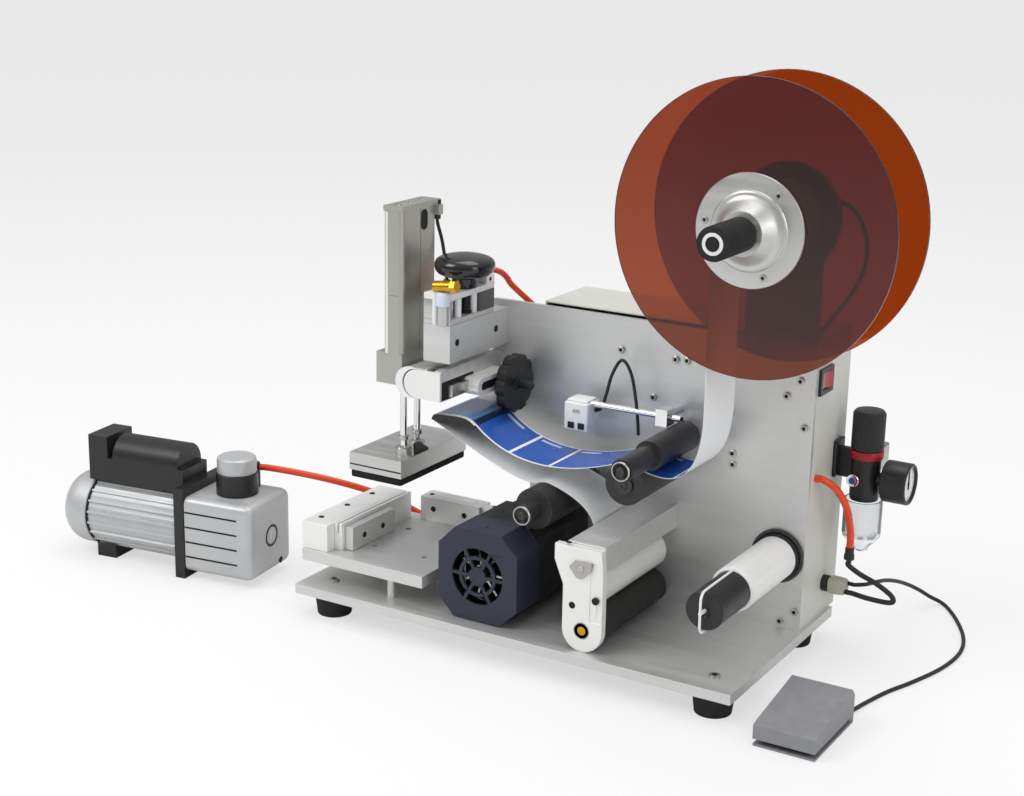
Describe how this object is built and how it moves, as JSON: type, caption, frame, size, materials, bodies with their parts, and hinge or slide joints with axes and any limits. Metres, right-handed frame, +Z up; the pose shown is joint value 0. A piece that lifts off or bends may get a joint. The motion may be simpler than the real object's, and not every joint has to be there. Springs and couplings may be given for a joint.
{
  "type": "flat surface labeling machine",
  "caption": "Bench machine that feeds labels from a reel over a peel plate and presses them onto flat goods, with foot pedal and vacuum pump.",
  "frame": {"origin": "centre of the front-left foot's bottom face", "axes": "+X to the right along the panel, +Y to the back, +Z up"},
  "size_m": [0.9258, 0.404, 0.5591],
  "materials": {
    "plate_aluminium": "brushed, satin",
    "sheet_steel": "satin grey paint",
    "white_parts": "bright milled",
    "steel": "ground",
    "chrome": "polished",
    "foot_rubber": "matte",
    "roller_black": "satin",
    "amber": "clear amber plastic",
    "label": "gloss paper",
    "paper": "matte",
    "navy": "fine texture",
    "black_plastic": "satin",
    "cast_silver": "silver paint over casting",
    "hose_orange": "gloss",
    "cable_black": "satin",
    "clear_bowl": "clear",
    "red_rocker": "gloss",
    "pedal_grey": "hammered",
    "cream": "satin",
    "belt": "matte"
  },
  "bodies": {
    "machine": {"base_plate": "plate_aluminium", "rubber_feet": "foot_rubber", "front_panel": "plate_aluminium", "rear_cover": "sheet_steel", "frame_screws": "steel", "roller_supports": "steel", "label_web": "label", "peel_plate": "black_plastic", "motor_cover": "navy", "motor_body": "black_plastic", "drive_belts": "belt", "traction_block": "plate_aluminium", "end_plate": "white_parts", "sensor_mount": "chrome", "upper_arm": "plate_aluminium", "machine_lines": "hose_orange", "regulator_body": "black_plastic", "regulator_bowl": "clear_bowl", "panel_sockets": "black_plastic", "pedal_base": "pedal_grey", "pedal_cable": "cable_black", "pedal_plug": "cream", "pump_motor": "cast_silver", "pump_frame": "black_plastic", "pump_oil_box": "cast_silver", "pump_hose": "hose_orange", "fixture_plate": "plate_aluminium", "fixed_fences": "white_parts", "internal_units": "steel"},
    "reel": {"reel_shaft": "steel", "reel_flanges": "plate_aluminium", "reel_discs": "amber", "label_roll": "label"},
    "guide_a": {"guide_roller_a": "roller_black"},
    "guide_b": {"guide_roller_b": "roller_black"},
    "guide_c": {"guide_roller_c": "roller_black"},
    "fan": {"motor_fan": "steel"},
    "output": {"motor_pulley": "steel"},
    "traction": {"rubber_roller": "roller_black"},
    "pinch": {"metal_roller": "white_parts"},
    "rewind": {"rewind_mandrel": "black_plastic", "liner_roll": "paper"},
    "sensor": {"sensor_block": "white_parts", "sensor_cable": "cable_black"},
    "lift": {"slide_block": "plate_aluminium"},
    "knob": {"head_knob": "black_plastic"},
    "arm": {"lower_arm": "plate_aluminium", "column": "plate_aluminium", "column_hose": "cable_black"},
    "star": {"star_knob": "black_plastic"},
    "press": {"push_rods": "chrome", "pad_plate": "plate_aluminium", "pad_foam": "foot_rubber"},
    "fence": {"inner_fence": "plate_aluminium"},
    "regulator": {"regulator_knob": "black_plastic"},
    "needle": {"gauge_needle": "black_plastic"},
    "valve": {"valve_lever": "black_plastic"},
    "rocker": {"power_rocker": "red_rocker"},
    "pedal": {"pedal_tread": "pedal_grey"},
    "cap": {"pump_cap": "black_plastic"}
  },
  "joints": [
    {"name": "traction_spin", "type": "hinge", "parent": "machine", "child": "traction", "pos_m": [0.292, 0.062, 0.054], "axis": [0, 1, 0], "continuous": true},
    {"name": "pinch_spin", "type": "hinge", "parent": "machine", "child": "pinch", "pos_m": [0.289, 0.062, 0.0908], "axis": [0, 1, 0], "continuous": true},
    {"name": "output_spin", "type": "hinge", "parent": "machine", "child": "output", "pos_m": [0.1755, 0.122, 0.0795], "axis": [0, 1, 0], "continuous": true},
    {"name": "fan_spin", "type": "hinge", "parent": "machine", "child": "fan", "pos_m": [0.1755, 0.012, 0.0795], "axis": [0, 1, 0], "continuous": true},
    {"name": "rewind_spin", "type": "hinge", "parent": "machine", "child": "rewind", "pos_m": [0.416, 0.062, 0.1045], "axis": [0, 1, 0], "continuous": true},
    {"name": "guide_a_spin", "type": "hinge", "parent": "machine", "child": "guide_a", "pos_m": [0.321, 0.062, 0.2095], "axis": [0, 1, 0], "continuous": true},
    {"name": "guide_b_spin", "type": "hinge", "parent": "machine", "child": "guide_b", "pos_m": [0.216, 0.062, 0.145], "axis": [0, 1, 0], "continuous": true},
    {"name": "guide_c_spin", "type": "hinge", "parent": "machine", "child": "guide_c", "pos_m": [0.3, 0.082, 0.1795], "axis": [0, 1, 0], "continuous": true},
    {"name": "reel_spin", "type": "hinge", "parent": "machine", "child": "reel", "pos_m": [0.4126, 0.072, 0.429], "axis": [0, 1, 0], "continuous": true},
    {"name": "sensor_slide", "type": "slide", "parent": "machine", "child": "sensor", "axis": [1, 0, 0], "range_m": [-0.01, 0.015]},
    {"name": "lift_slide", "type": "slide", "parent": "machine", "child": "lift", "axis": [0, 0, 1], "range_m": [0, 0.005]},
    {"name": "knob_turn", "type": "hinge", "parent": "lift", "child": "knob", "pos_m": [0.105, 0.072, 0.3335], "axis": [0, 0, 1], "range_deg": [0, 900]},
    {"name": "arm_slide", "type": "slide", "parent": "lift", "child": "arm", "axis": [0, 1, 0], "range_m": [-0.008, 0.003]},
    {"name": "star_turn", "type": "hinge", "parent": "arm", "child": "star", "pos_m": [0.122, 0.106, 0.238], "axis": [1, 0, 0], "range_deg": [0, 270]},
    {"name": "press_slide", "type": "slide", "parent": "arm", "child": "press", "axis": [0, 0, 1], "range_m": [-0.038, 0.055]},
    {"name": "fence_slide", "type": "slide", "parent": "machine", "child": "fence", "axis": [0, 1, 0], "range_m": [-0.004, 0.04]},
    {"name": "regulator_turn", "type": "hinge", "parent": "machine", "child": "regulator", "pos_m": [0.472, 0.207, 0.2135], "axis": [0, 0, 1], "range_deg": [0, 540]},
    {"name": "needle_turn", "type": "hinge", "parent": "machine", "child": "needle", "pos_m": [0.512, 0.207, 0.1745], "axis": [1, 0, 0], "range_deg": [0, 270]},
    {"name": "valve_turn", "type": "hinge", "parent": "machine", "child": "valve", "pos_m": [0.472, 0.23233, 0.2185], "axis": [0, 0, 1], "range_deg": [0, 90]},
    {"name": "rocker_turn", "type": "hinge", "parent": "machine", "child": "rocker", "pos_m": [0.441, 0.1615, 0.275], "axis": [0, 0, 1], "range_deg": [0, 9]},
    {"name": "pedal_press", "type": "hinge", "parent": "machine", "child": "pedal", "pos_m": [0.503, 0.038, 0.0135], "axis": [1, 0, 0], "range_deg": [0, 3], "stiffness_Nm_per_rad": 4},
    {"name": "cap_turn", "type": "hinge", "parent": "machine", "child": "cap", "pos_m": [-0.14873, 0.03135, 0.1035], "axis": [0, 0, 1], "range_deg": [0, 360]}
  ],
  "couplings": [
    {"joint": "pinch_spin", "follows": "traction_spin", "ratio": -0.9459},
    {"joint": "output_spin", "follows": "traction_spin", "ratio": 1},
    {"joint": "fan_spin", "follows": "traction_spin", "ratio": 15},
    {"joint": "rewind_spin", "follows": "traction_spin", "ratio": 1},
    {"joint": "guide_a_spin", "follows": "traction_spin", "ratio": 1.2069},
    {"joint": "guide_b_spin", "follows": "traction_spin", "ratio": 0.875},
    {"joint": "guide_c_spin", "follows": "traction_spin", "ratio": -0.875},
    {"joint": "reel_spin", "follows": "traction_spin", "ratio": -0.473},
    {"joint": "knob_turn", "follows": "lift_slide", "rad_per_m": 3141.6},
    {"joint": "needle_turn", "follows": "regulator_turn", "ratio": 0.5}
  ]
}
